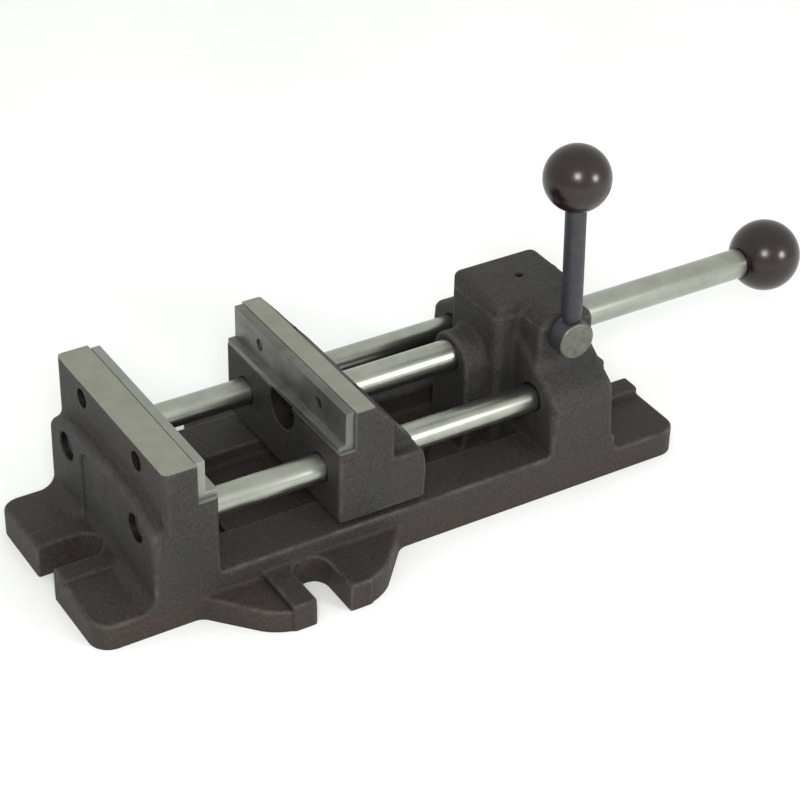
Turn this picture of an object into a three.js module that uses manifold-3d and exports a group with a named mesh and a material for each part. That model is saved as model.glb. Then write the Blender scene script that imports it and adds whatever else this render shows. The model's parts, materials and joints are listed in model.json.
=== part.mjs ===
// A quick-release drill-press vise with 4 inch jaws, in millimetres.
//
// The cast base carries a fixed jaw at one end and a housing at the other, joined by two ground
// guide rods. The moving jaw slides on the rods and is pushed by a smooth bar with a ball knob.
// A cam lever on the housing tilts a grip block inside it, which jams on the bar and clamps the jaw.
//
// +X runs from the fixed jaw towards the knob, +Y to the far side and +Z up. The origin is under the
// gripping face of the fixed jaw, on the centre line, in the plane of the underside.

import * as THREE from 'three';
import { mergeVertices } from 'three/addons/utils/BufferGeometryUtils.js';
import Module from 'manifold-3d';

const wasm = await Module();
wasm.setup();

// ---- driving dimensions ----

const GAP = 0.3; // between pieces that touch in the real vise
const JAW_OPENING = 66.3;
const JAW_TOP = 79.6;
const BODY_HALF_WIDTH = 51.8;

const BASE = { front: -52.9, rear: 246.5, railTop: 21, padTop: 12.9 };
const BED = { windowFront: 8, windowRear: 100, halfWidth: 26.5, troughFloor: 9.5, rear: 209 };
const END_SLOT = { halfWidth: 8.2, bossHalfWidth: 19.5, bossTop: 16.5, frontReach: -26.5, rearReach: 221 };
const EAR = { x: 44.4, rootHalf: 50, tipHalf: 24.6, reach: 79.1, top: 11.6, bossTop: 13.3, corner: 8 };

const FIXED_JAW = { front: -25.6, upperFront: -19.9, inner: 5.35, halfWidth: 52.5 };
const JAW_ARCH = { sideTop: 48, top: 59.5, halfWidth: 36, corner: 18 };
const PLATE = { halfWidth: 50, thickness: 4.4, ledge: 63.7, lip: 3, fixedReach: 5.35, movingReach: 3.6 };
const PLATE_SCREW = {
  y: 26.5, z: 71.8, radius: 2.5, headRadius: 4.2, headLength: 5, hex: 4, pocket: 10.5, inset: 0.6,
};
const MOVING_JAW = {
  bottom: 24, topLength: 15.2, back: 23.7, backTop: 71.7, rear: 41.5, cheekTop: 49.5, gussetHalfWidth: 44,
};

const GUIDE_ROD = { y: 34, z: 44.06, radius: 6.35, front: -22.8, rear: 199 };
const ROD_PLUG_LENGTH = 6;
const BAR = { z: 55.2, radius: 7.26, front: 20, shoulder: 317.1, stud: 8, studRadius: 5 };
const BAR_KNOB = { x: 333, radius: 17.5, bore: 13, socket: 7, insertLength: 11 };
const JAW_BOLT = { radius: 3, headRadius: 5.1, headLength: 6, pocketRadius: 10.5, pocketDepth: 13 };
const JAW_WASHER = { radius: 8.5, thickness: 1.6 };
const BUSH = { radius: 9.3, length: 12 };

const HOUSING = { front: 173, rear: 207, blockFront: 162, blockHalfWidth: 19.3, top: 86.5 };
const SHOULDER = { sideTop: 48.3, blockTop: 72 };
const PEDESTAL = { front: 150, halfWidth: 14, top: 69 };
const CAM_BOSS = { front: 174.3, rear: 203.6, face: -35.5, top: 85 };
const CAVITY = { front: 166, rear: 196, halfWidth: 12, top: 83.2 };
const OIL_HOLE = { x: 186.2, radius: 1.5 };

const CAM = {
  x: 187.6, z: 75.6, face: -46, hubRadius: 9, journal: 6.35, lobe: 4.3, offset: 2, end: 21.5,
};
const CAM_RING = { seat: 17, start: 17.4, length: 1.2, outer: 9, groove: 5.2 };
const LEVER = { y: -40.6, lean: -1.8, rodRadius: 4.75, neckRadius: 3.6, studRadius: 3.4, socket: 5.2 };
const LEVER_BALL = { centre: 80.5, radius: 15, bore: 19, insertFrom: -11.2, insertTo: 3.5 };
const LEVER_LOCKED = 75; // degrees, towards the knob

const GRIP = { front: 172.5, rear: 182.4, halfWidth: 11, bottom: 32, top: 80, pinX: 177.5, pinZ: 37 };
const GRIP_PIN_RADIUS = 3;
const GRIP_SPRING = { front: 167.6, rear: 172.1, radius: 9.3, wire: 0.5, turns: 2 };

// ---- materials ----

const metal = (color, roughness, metalness) => (
  new THREE.MeshStandardMaterial({ color, roughness, metalness })
);
const CAST_IRON = metal(0x4c4a46, 0.72, 0.55);
const GROUND_STEEL = metal(0x8d9088, 0.38, 0.9);
const POLISHED_STEEL = metal(0xc3c5bd, 0.16, 1);
const BLACK_STEEL = metal(0x34333a, 0.5, 0.7);
const SCREW_STEEL = metal(0x2b2b2e, 0.45, 0.8);
const BRONZE = metal(0xa07a44, 0.4, 0.9);
const PHENOLIC = metal(0x221b1f, 0.14, 0);

// ---- solids ----

const ARC_STEPS = 5;

function toSolid(geometry) {
  const bare = geometry.index ? geometry.toNonIndexed() : geometry.clone();
  bare.deleteAttribute('normal');
  bare.deleteAttribute('uv');
  const merged = mergeVertices(bare, 1e-4);
  return new wasm.Manifold(new wasm.Mesh({
    numProp: 3,
    vertProperties: new Float32Array(merged.attributes.position.array),
    triVerts: new Uint32Array(merged.index.array),
  }));
}

function toGeometry(solid) {
  const mesh = solid.getMesh();
  const geometry = new THREE.BufferGeometry();
  geometry.setAttribute('position', new THREE.BufferAttribute(new Float32Array(mesh.vertProperties), 3));
  geometry.setIndex(new THREE.BufferAttribute(new Uint32Array(mesh.triVerts), 1));
  geometry.computeVertexNormals();
  return geometry;
}

const join = (first, ...others) => others.reduce((body, other) => body.add(other), first);
const cut = (first, ...others) => others.reduce((body, other) => body.subtract(other), first);

// A closed outline from corners [u, v] or [u, v, radius], each radius rounded with an arc.
function outline(corners) {
  const points = [];
  corners.forEach(([u, v, radius = 0], index) => {
    const corner = new THREE.Vector2(u, v);
    if (radius === 0) {
      points.push(corner);
      return;
    }
    const before = corners[(index + corners.length - 1) % corners.length];
    const after = corners[(index + 1) % corners.length];
    const inward = new THREE.Vector2(before[0] - u, before[1] - v).normalize();
    const outward = new THREE.Vector2(after[0] - u, after[1] - v).normalize();
    const half = Math.acos(THREE.MathUtils.clamp(inward.dot(outward), -1, 1)) / 2;
    const start = corner.clone().addScaledVector(inward, radius / Math.tan(half));
    const bisector = inward.clone().add(outward).normalize();
    const centre = corner.clone().addScaledVector(bisector, radius / Math.sin(half));
    const turn = Math.sign(inward.cross(outward)) * (Math.PI - 2 * half);
    for (let step = 0; step <= ARC_STEPS; step += 1) {
      points.push(start.clone().rotateAround(centre, (-turn * step) / ARC_STEPS));
    }
  });
  return new THREE.Shape(points);
}

const PLANES = {
  // plane of the outline, and the axis that it is extruded along
  xy: { u: [1, 0, 0], v: [0, 1, 0], along: [0, 0, 1] },
  yz: { u: [0, 1, 0], v: [0, 0, 1], along: [1, 0, 0] },
  zx: { u: [0, 0, 1], v: [1, 0, 0], along: [0, 1, 0] },
};

function extrude(plane, shape, from, to) {
  const { u, v, along } = PLANES[plane];
  const geometry = new THREE.ExtrudeGeometry(shape, { depth: to - from, bevelEnabled: false });
  geometry.translate(0, 0, from);
  geometry.applyMatrix4(new THREE.Matrix4().makeBasis(
    new THREE.Vector3(...u),
    new THREE.Vector3(...v),
    new THREE.Vector3(...along),
  ));
  return toSolid(geometry);
}

const prism = (plane, corners, from, to) => extrude(plane, outline(corners), from, to);

// An outline seen from the side, given as [x, z], extruded across the vise.
const sidePrism = (corners, from, to) => prism('zx', corners.map(([x, z, r]) => [z, x, r]), from, to);

function block(x0, x1, y0, y1, z0, z1) {
  const geometry = new THREE.BoxGeometry(x1 - x0, y1 - y0, z1 - z0);
  geometry.translate((x0 + x1) / 2, (y0 + y1) / 2, (z0 + z1) / 2);
  return toSolid(geometry);
}

// A solid of revolution about an axis line, from a profile of [radius, distance along the axis].
function turned(profile, axis = 'z', sides = 28) {
  const points = profile.map(([radius, along]) => new THREE.Vector2(radius, along));
  const geometry = new THREE.LatheGeometry(points, sides);
  if (axis === 'x') geometry.rotateZ(-Math.PI / 2);
  if (axis === 'z') geometry.rotateX(Math.PI / 2);
  return toSolid(geometry);
}

const round = (axis, radius, from, to, sides = 28) => (
  turned([[0, from], [radius, from], [radius, to], [0, to]], axis, sides)
);

const ring = (axis, inner, outer, from, to, sides = 28) => (
  cut(round(axis, outer, from, to, sides), round(axis, inner, from - 1, to + 1, sides))
);

function hexPocket(axis, acrossFlats, from, to) {
  return round(axis, acrossFlats / Math.sqrt(3), from, to, 6);
}

function piece(name, solid, material, position = [0, 0, 0]) {
  const mesh = new THREE.Mesh(toGeometry(solid), material);
  mesh.name = name;
  mesh.position.set(...position);
  return mesh;
}

const SIDES = [['near', -1], ['far', 1]];

// ---- base casting ----

function slotCut(mouth, reach, y, top) {
  // A hold-down slot along X, open at the mouth and round at its inner end.
  const { halfWidth } = END_SLOT;
  const inward = Math.sign(reach - mouth);
  const centre = reach - inward * halfWidth;
  const [low, high] = [mouth - inward * 5, centre].sort((a, b) => a - b);
  const channel = block(low, high, y - halfWidth, y + halfWidth, -1, top + 1);
  return channel.add(round('z', halfWidth, -1, top + 1).translate([centre, y, 0]));
}

function ear(side) {
  const { x, rootHalf, tipHalf, reach, top, bossTop, corner } = EAR;
  const { halfWidth, bossHalfWidth } = END_SLOT;
  const root = BODY_HALF_WIDTH - 1;
  const order = (corners) => (side > 0 ? corners : corners.reverse());
  const pad = prism('xy', order([
    [x - rootHalf, side * root],
    [x + rootHalf, side * root],
    [x + tipHalf, side * reach, corner],
    [x - tipHalf, side * reach, corner],
  ]), 0, top);
  const boss = prism('xy', order([
    [x - bossHalfWidth, side * root],
    [x + bossHalfWidth, side * root],
    [x + bossHalfWidth, side * reach, 1.5],
    [x - bossHalfWidth, side * reach, 1.5],
  ]), 0, bossTop);
  const inner = BODY_HALF_WIDTH + halfWidth;
  const [low, high] = [side * inner, side * (reach + 5)].sort((a, b) => a - b);
  const channel = block(x - halfWidth, x + halfWidth, low, high, -1, bossTop + 1);
  const slotEnd = round('z', halfWidth, -1, bossTop + 1).translate([x, side * inner, 0]);
  return cut(pad.add(boss), channel, slotEnd);
}

function endFlange(end, root, top, corner, reach) {
  const low = Math.min(end, root);
  const high = Math.max(end, root);
  const cornerAt = (x) => (x === end ? corner : 0);
  const bossCorner = (x) => (x === end ? 3 : 0);
  const flat = (halfWidth, radiusAt, height) => prism('xy', [
    [low, -halfWidth, radiusAt(low)],
    [high, -halfWidth, radiusAt(high)],
    [high, halfWidth, radiusAt(high)],
    [low, halfWidth, radiusAt(low)],
  ], 0, height);
  const pad = flat(BODY_HALF_WIDTH, cornerAt, top);
  const boss = flat(END_SLOT.bossHalfWidth, bossCorner, END_SLOT.bossTop);
  return cut(pad.add(boss), slotCut(end, reach, 0, END_SLOT.bossTop));
}

function fixedJaw() {
  const { front, upperFront, inner, halfWidth } = FIXED_JAW;
  const seat = -PLATE.thickness - GAP;
  const seatFloor = PLATE.ledge - PLATE.lip - GAP;
  const upper = sidePrism([
    [upperFront, 0],
    [inner, 0],
    [inner, seatFloor],
    [seat, seatFloor],
    [seat, JAW_TOP],
    [upperFront, JAW_TOP, 1.5],
  ], -halfWidth, halfWidth);
  const roundedTop = prism('yz', [
    [-halfWidth, -1],
    [halfWidth, -1],
    [halfWidth, JAW_TOP, 4],
    [-halfWidth, JAW_TOP, 4],
  ], upperFront - 1, inner + 1);
  const arch = prism('yz', [
    [-halfWidth, 0],
    [halfWidth, 0],
    [halfWidth, JAW_ARCH.sideTop, 2],
    [JAW_ARCH.halfWidth, JAW_ARCH.top, JAW_ARCH.corner],
    [-JAW_ARCH.halfWidth, JAW_ARCH.top, JAW_ARCH.corner],
    [-halfWidth, JAW_ARCH.sideTop, 2],
  ], front, upperFront + 1);
  const panel = prism('yz', [
    [-20, 20, 4],
    [20, 20, 4],
    [20, 46, 4],
    [-20, 46, 4],
  ], front - 1, front + 1.5);
  return cut(join(upper.intersect(roundedTop), arch), panel);
}

function screwHoles(front, seat) {
  // Counterbored holes for the screws that hold a jaw plate, drilled from the back of the jaw.
  const low = Math.min(front, seat);
  const high = Math.max(front, seat);
  const { pocket } = PLATE_SCREW;
  const headEnd = front < seat ? [front - 1, front + pocket] : [front - pocket, front + 1];
  return SIDES.map(([, side]) => join(
    round('x', PLATE_SCREW.headRadius + GAP, ...headEnd),
    round('x', PLATE_SCREW.radius + GAP, low - 1, high + 1),
  ).translate([0, side * PLATE_SCREW.y, PLATE_SCREW.z]));
}

function housing() {
  const { front, rear, blockFront, blockHalfWidth, top } = HOUSING;
  const shoulders = prism('yz', [
    [-BODY_HALF_WIDTH, 0],
    [BODY_HALF_WIDTH, 0],
    [BODY_HALF_WIDTH, SHOULDER.sideTop, 6],
    [blockHalfWidth - 2, SHOULDER.blockTop],
    [2 - blockHalfWidth, SHOULDER.blockTop],
    [-BODY_HALF_WIDTH, SHOULDER.sideTop, 6],
  ], front, rear);
  const blockSide = sidePrism([
    [blockFront, 1],
    [rear, 1],
    [rear, top, 3],
    [blockFront, top, 5],
  ], -blockHalfWidth, blockHalfWidth);
  const blockPlan = prism('xy', [
    [blockFront, -blockHalfWidth, 5],
    [rear, -blockHalfWidth, 1],
    [rear, blockHalfWidth, 2],
    [blockFront, blockHalfWidth, 5],
  ], 0, top + 1);
  const pedestal = prism('yz', [
    [-PEDESTAL.halfWidth, 1],
    [PEDESTAL.halfWidth, 1],
    [PEDESTAL.halfWidth, PEDESTAL.top, PEDESTAL.halfWidth - 0.5],
    [-PEDESTAL.halfWidth, PEDESTAL.top, PEDESTAL.halfWidth - 0.5],
  ], PEDESTAL.front, blockFront + 6);
  const camBoss = sidePrism([
    [CAM_BOSS.front, 30],
    [CAM_BOSS.rear, 30],
    [CAM_BOSS.rear, CAM_BOSS.top, 9],
    [CAM_BOSS.front, CAM_BOSS.top, 9],
  ], CAM_BOSS.face, 0);
  return join(shoulders, blockSide.intersect(blockPlan), pedestal, camBoss);
}

function housingCuts() {
  const cavity = block(CAVITY.front, CAVITY.rear, -CAVITY.halfWidth, CAVITY.halfWidth, -1, CAVITY.top);
  const camBore = round('y', CAM.journal + GAP, CAM_BOSS.face - 1, 20).translate([CAM.x, 0, CAM.z]);
  const barBore = round('x', BAR.radius + GAP, PEDESTAL.front - 1, HOUSING.rear + 1)
    .translate([0, 0, BAR.z]);
  const bushSeats = [CAVITY.front - BUSH.length - GAP, CAVITY.rear - 1].map((start) => (
    round('x', BUSH.radius + GAP, start, start + BUSH.length + GAP + 1).translate([0, 0, BAR.z])
  ));
  const ringRecess = round('y', CAM_RING.outer + 1.5, CAM_RING.seat, CAM.end + 2)
    .translate([CAM.x, 0, CAM.z]);
  const oilHole = round('z', OIL_HOLE.radius, CAVITY.top - 1, HOUSING.top + 1, 12)
    .translate([OIL_HOLE.x, 0, 0]);
  const pinHole = round('y', GRIP_PIN_RADIUS + GAP, -HOUSING.blockHalfWidth + 1, HOUSING.blockHalfWidth - 1)
    .translate([GRIP.pinX, 0, GRIP.pinZ]);
  return [cavity, camBore, ringRecess, barBore, ...bushSeats, oilHole, pinHole];
}

function baseCasting() {
  const { front, rear, padTop, railTop } = BASE;
  const { windowFront, windowRear, halfWidth, troughFloor } = BED;
  const bed = block(FIXED_JAW.front + 1, BED.rear, -BODY_HALF_WIDTH, BODY_HALF_WIDTH, 0, railTop);
  const body = join(
    bed,
    endFlange(front, FIXED_JAW.front + 2, padTop, 10, END_SLOT.frontReach),
    endFlange(rear, HOUSING.rear - 2, padTop, 8.5, END_SLOT.rearReach),
    ear(-1),
    ear(1),
  );
  const window = block(windowFront, windowRear, -halfWidth, halfWidth, -1, railTop + 1);
  const trough = block(windowRear - 1, HOUSING.front, -halfWidth, halfWidth, troughFloor, railTop + 1);
  const rodBores = SIDES.map(([, side]) => (
    round('x', GUIDE_ROD.radius + GAP, FIXED_JAW.front - 1, HOUSING.rear + 1)
      .translate([0, side * GUIDE_ROD.y, GUIDE_ROD.z])
  ));
  return cut(
    join(cut(body, window, trough), fixedJaw(), housing()),
    ...housingCuts(),
    ...rodBores,
    ...screwHoles(FIXED_JAW.upperFront, 0),
  );
}

// ---- jaw plates and their screws ----

// The plate's gripping face is at x = 0, its back on the +X side.
function jawPlate(lipReach) {
  const { halfWidth, thickness, ledge, lip } = PLATE;
  const body = sidePrism([
    [thickness, ledge - lip],
    [thickness, JAW_TOP, 0.6],
    [0, JAW_TOP, 0.6],
    [0, ledge],
    [-lipReach, ledge, 0.5],
    [-lipReach, ledge - lip],
  ].reverse(), -halfWidth, halfWidth);
  const holes = SIDES.map(([, side]) => (
    round('x', PLATE_SCREW.radius + GAP, -1, thickness + 1)
      .translate([0, side * PLATE_SCREW.y, PLATE_SCREW.z])
  ));
  return cut(body, ...holes);
}

// A socket-head cap screw along +X, its head's top at x = 0.
function capScrew(radius, headRadius, headLength, length, hex) {
  const screw = turned([
    [0, 0],
    [headRadius - 0.4, 0],
    [headRadius, 0.4],
    [headRadius, headLength],
    [radius, headLength],
    [radius, length],
    [0, length],
  ], 'x', 24);
  return cut(screw, hexPocket('x', hex, -1, headLength * 0.6));
}

function plateScrew(length) {
  const { radius, headRadius, headLength, hex } = PLATE_SCREW;
  return capScrew(radius, headRadius, headLength, length, hex);
}

// ---- moving jaw, in a frame whose x = 0 is its gripping face ----

function movingJaw() {
  const { bottom, topLength, back, backTop, rear, cheekTop, gussetHalfWidth } = MOVING_JAW;
  const front = -PLATE.movingReach;
  const seat = PLATE.thickness + GAP;
  const seatFloor = PLATE.ledge - PLATE.lip - GAP;
  const body = sidePrism([
    [front, bottom, 1],
    [rear - 2.5, bottom, 6],
    [rear, cheekTop - 10, 8],
    [rear - 2, cheekTop + 1, 4],
    [back, backTop],
    [topLength, JAW_TOP],
    [seat, JAW_TOP],
    [seat, seatFloor],
    [front, seatFloor],
  ], -BODY_HALF_WIDTH, BODY_HALF_WIDTH);
  const sideNotch = block(back, rear + 1, gussetHalfWidth, BODY_HALF_WIDTH + 1, cheekTop, JAW_TOP);
  const roundedTop = prism('yz', [
    [-BODY_HALF_WIDTH, 0],
    [BODY_HALF_WIDTH, 0],
    [BODY_HALF_WIDTH, JAW_TOP, 3],
    [-BODY_HALF_WIDTH, JAW_TOP, 3],
  ], front - 1, rear + 1);
  const rodBores = SIDES.map(([, side]) => (
    round('x', GUIDE_ROD.radius + GAP, front - 1, rear + 1)
      .translate([0, side * GUIDE_ROD.y, GUIDE_ROD.z])
  ));
  const barSocket = round('x', BAR.radius + GAP, BAR.front - GAP, rear + 1).translate([0, 0, BAR.z]);
  const boltHole = round('x', JAW_BOLT.radius + GAP, front - 1, rear).translate([0, 0, BAR.z]);
  const boltPocket = round('x', JAW_BOLT.pocketRadius, front - 1, front + JAW_BOLT.pocketDepth)
    .translate([0, 0, BAR.z]);
  const screws = screwHoles(back, 0);
  return cut(
    body.intersect(roundedTop),
    sideNotch,
    sideNotch.mirror([0, 1, 0]),
    ...rodBores,
    barSocket,
    boltHole,
    boltPocket,
    ...screws,
  );
}

// ---- push bar and knob ----

const BOLT_ENGAGEMENT = 14;

function pushBar(length) {
  const { radius, stud, studRadius } = BAR;
  const bar = turned([
    [0, 0],
    [radius - 1, 0],
    [radius, 1],
    [radius, length - stud],
    [studRadius, length - stud + GAP],
    [studRadius, length],
    [0, length],
  ], 'x', 32);
  return cut(bar, round('x', JAW_BOLT.radius + GAP, -1, BOLT_ENGAGEMENT + 2));
}

const FLAT_RIM = 1; // width of a ball's flat around its socket
const flatDistance = (radius, socketRadius) => Math.sqrt(radius ** 2 - (socketRadius + FLAT_RIM) ** 2);

// A ball with a flat and a blind socket on its -axis side, centred on the origin.
function ballWithSocket(axis, radius, socketRadius, socketDepth) {
  const flat = flatDistance(radius, socketRadius);
  const start = Math.PI - Math.asin((socketRadius + FLAT_RIM) / radius);
  const profile = [[0, -flat]];
  const steps = 16;
  for (let step = 0; step < steps; step += 1) {
    const angle = start * (1 - step / steps);
    profile.push([radius * Math.sin(angle), radius * Math.cos(angle)]);
  }
  profile.push([0, radius]);
  const ball = turned(profile, axis, 28);
  return cut(ball, round(axis, socketRadius, -radius - 1, socketDepth - flat));
}

// ---- cam shaft and lever, in a frame at the cam axis with the lever upright ----

function camShaft() {
  const { face, hubRadius, journal, lobe, offset, end } = CAM;
  const hubEnd = CAM_BOSS.face - GAP;
  const shaft = turned([
    [0, face],
    [hubRadius - 1.2, face],
    [hubRadius, face + 1.2],
    [hubRadius, hubEnd],
    [journal, hubEnd],
    [journal, -CAVITY.halfWidth + GAP],
    [lobe - offset, -CAVITY.halfWidth + GAP],
    [lobe - offset, CAVITY.halfWidth - GAP],
    [journal, CAVITY.halfWidth - GAP],
    [journal, CAM_RING.start - GAP],
    [CAM_RING.groove - GAP, CAM_RING.start - GAP],
    [CAM_RING.groove - GAP, CAM_RING.start + CAM_RING.length + GAP],
    [journal, CAM_RING.start + CAM_RING.length + GAP],
    [journal, end - 0.8],
    [journal - 0.8, end],
    [0, end],
  ], 'y', 32);
  const locked = THREE.MathUtils.degToRad(LEVER_LOCKED);
  const lobeBody = round('y', lobe, -CAVITY.halfWidth + GAP - 0.1, CAVITY.halfWidth - GAP + 0.1, 24)
    .translate([-offset * Math.cos(locked), 0, -offset * Math.sin(locked)]);
  const rodHole = round('z', LEVER.neckRadius + GAP, -4, hubRadius + 2).translate([0, LEVER.y, 0]);
  return cut(shaft.add(lobeBody), rodHole);
}

function leverRod() {
  const { rodRadius, neckRadius, studRadius } = LEVER;
  const { centre } = LEVER_BALL;
  const shoulder = CAM.hubRadius + GAP;
  return turned([
    [0, GAP - 4],
    [neckRadius, GAP - 4],
    [neckRadius, shoulder],
    [neckRadius + 0.4, shoulder + 0.4],
    [rodRadius, shoulder + 4],
    [rodRadius, centre - 12.5],
    [studRadius, centre - 11.5],
    [studRadius, centre + 3],
    [0, centre + 3],
  ], 'z', 28);
}

// ---- grip block and its spring ----

function gripBlock() {
  const { front, rear, halfWidth, bottom, top, pinX, pinZ } = GRIP;
  const body = sidePrism([
    [front, bottom, 2],
    [rear, bottom, 2],
    [rear, top, 2],
    [front, top, 2],
  ], -halfWidth, halfWidth);
  const barHole = round('x', BAR.radius + 0.45, front - 1, rear + 1, 32).translate([0, 0, BAR.z]);
  const pinHole = round('y', GRIP_PIN_RADIUS + GAP, -halfWidth - 1, halfWidth + 1)
    .translate([pinX, 0, pinZ]);
  return cut(body, barHole, pinHole);
}

class Helix extends THREE.Curve {
  constructor(radius, length, turns) {
    super();
    Object.assign(this, { radius, length, turns });
  }

  getPoint(t, target = new THREE.Vector3()) {
    const angle = 2 * Math.PI * this.turns * t;
    return target.set(this.length * t, this.radius * Math.cos(angle), this.radius * Math.sin(angle));
  }
}

function gripSpring() {
  const { front, rear, radius, wire, turns } = GRIP_SPRING;
  const section = new THREE.Shape();
  section.absarc(0, 0, wire, 0, 2 * Math.PI);
  const geometry = new THREE.ExtrudeGeometry(section, {
    extrudePath: new Helix(radius, rear - front - 2 * wire, turns),
    steps: turns * 12,
    curveSegments: 3,
    bevelEnabled: false,
  });
  return toSolid(geometry);
}

// ---- assembly ----

const group = new THREE.Group();
const at = (side) => [0, side * GUIDE_ROD.y, GUIDE_ROD.z];

group.add(piece('base_casting', baseCasting(), CAST_IRON));

const fixedPlate = piece('fixed_jaw_plate', jawPlate(PLATE.fixedReach), GROUND_STEEL);
fixedPlate.rotation.z = Math.PI;
group.add(fixedPlate);

const screwHeadDepth = PLATE_SCREW.pocket - PLATE_SCREW.headLength - GAP;
const fixedScrewHead = FIXED_JAW.upperFront + screwHeadDepth;
SIDES.forEach(([label, side]) => {
  const screw = plateScrew(-fixedScrewHead - PLATE_SCREW.inset);
  group.add(piece(
    `fixed_plate_screw_${label}`,
    screw,
    SCREW_STEEL,
    [fixedScrewHead, side * PLATE_SCREW.y, PLATE_SCREW.z],
  ));

  const rodBody = turned([
    [0, GUIDE_ROD.front],
    [GUIDE_ROD.radius - 1, GUIDE_ROD.front],
    [GUIDE_ROD.radius, GUIDE_ROD.front + 1],
    [GUIDE_ROD.radius, GUIDE_ROD.rear],
    [0, GUIDE_ROD.rear],
  ], 'x', 32);
  group.add(piece(`guide_rod_${label}`, rodBody, POLISHED_STEEL, at(side)));

  const plugStart = GUIDE_ROD.rear + GAP;
  const plug = cut(
    round('x', GUIDE_ROD.radius, plugStart, plugStart + ROD_PLUG_LENGTH),
    hexPocket('x', 6, plugStart + 3, plugStart + ROD_PLUG_LENGTH + 1),
  );
  group.add(piece(`rod_plug_${label}`, plug, SCREW_STEEL, at(side)));
});

[['front', CAVITY.front - BUSH.length], ['rear', CAVITY.rear]].forEach(([label, start]) => {
  const bush = ring('x', BAR.radius + GAP, BUSH.radius, start, start + BUSH.length - GAP, 32);
  group.add(piece(`bar_bush_${label}`, bush, BRONZE, [0, 0, BAR.z]));
});

group.add(piece(
  'grip_pivot_pin',
  round('y', GRIP_PIN_RADIUS, GAP + 1 - HOUSING.blockHalfWidth, HOUSING.blockHalfWidth - 1 - GAP, 20),
  SCREW_STEEL,
  [GRIP.pinX, 0, GRIP.pinZ],
));

const slide = new THREE.Group();
slide.position.x = JAW_OPENING;
group.add(slide);

slide.add(piece('moving_jaw', movingJaw(), CAST_IRON));
slide.add(piece('moving_jaw_plate', jawPlate(PLATE.movingReach), GROUND_STEEL));

const movingScrewHead = MOVING_JAW.back - screwHeadDepth;
SIDES.forEach(([label, side]) => {
  const screw = piece(
    `moving_plate_screw_${label}`,
    plateScrew(movingScrewHead - PLATE_SCREW.inset),
    SCREW_STEEL,
    [movingScrewHead, side * PLATE_SCREW.y, PLATE_SCREW.z],
  );
  screw.rotation.z = Math.PI;
  slide.add(screw);
});

const boltWasherStart = JAW_BOLT.pocketDepth - PLATE.movingReach - JAW_WASHER.thickness - GAP;
const boltHeadStart = boltWasherStart - JAW_BOLT.headLength - GAP;
const boltLength = BAR.front - boltHeadStart + BOLT_ENGAGEMENT;
slide.add(piece(
  'jaw_bolt',
  capScrew(JAW_BOLT.radius, JAW_BOLT.headRadius, JAW_BOLT.headLength, boltLength, 5),
  SCREW_STEEL,
  [boltHeadStart, 0, BAR.z],
));
slide.add(piece(
  'jaw_bolt_washer',
  ring('x', JAW_BOLT.radius + GAP, JAW_WASHER.radius, 0, JAW_WASHER.thickness),
  SCREW_STEEL,
  [boltWasherStart, 0, BAR.z],
));

const barLength = BAR.shoulder + BAR.stud - JAW_OPENING - BAR.front;
slide.add(piece('push_bar', pushBar(barLength), POLISHED_STEEL, [BAR.front, 0, BAR.z]));

const knobX = BAR_KNOB.x - JAW_OPENING;
const knobFlat = flatDistance(BAR_KNOB.radius, BAR_KNOB.socket);
slide.add(piece(
  'bar_knob',
  ballWithSocket('x', BAR_KNOB.radius, BAR_KNOB.socket, BAR_KNOB.bore),
  PHENOLIC,
  [knobX, 0, BAR.z],
));
slide.add(piece(
  'bar_knob_insert',
  ring(
    'x',
    BAR.studRadius + GAP,
    BAR_KNOB.socket - GAP,
    -knobFlat,
    BAR_KNOB.insertLength - knobFlat,
    24,
  ),
  BRONZE,
  [knobX, 0, BAR.z],
));

const lever = new THREE.Group();
lever.position.set(CAM.x, 0, CAM.z);
lever.rotation.y = THREE.MathUtils.degToRad(LEVER.lean);
group.add(lever);

lever.add(piece('cam_shaft', camShaft(), GROUND_STEEL));
lever.add(piece('lever_rod', leverRod(), BLACK_STEEL, [0, LEVER.y, 0]));
lever.add(piece(
  'cam_ring',
  ring('y', CAM_RING.groove, CAM_RING.outer, CAM_RING.start, CAM_RING.start + CAM_RING.length),
  SCREW_STEEL,
));
lever.add(piece(
  'lever_ball',
  ballWithSocket('z', LEVER_BALL.radius, LEVER.socket, LEVER_BALL.bore),
  PHENOLIC,
  [0, LEVER.y, LEVER_BALL.centre],
));
lever.add(piece(
  'lever_ball_insert',
  ring(
    'z',
    LEVER.studRadius + GAP,
    LEVER.socket - GAP,
    LEVER_BALL.insertFrom,
    LEVER_BALL.insertTo,
    24,
  ),
  BRONZE,
  [0, LEVER.y, LEVER_BALL.centre],
));

group.add(piece('grip_block', gripBlock(), BLACK_STEEL));
group.add(piece(
  'grip_spring',
  gripSpring(),
  SCREW_STEEL,
  [GRIP_SPRING.front + GRIP_SPRING.wire, 0, BAR.z],
));

export default group;
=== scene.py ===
import json
import math

import bpy
import numpy as np
from mathutils import Matrix, Vector


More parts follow.
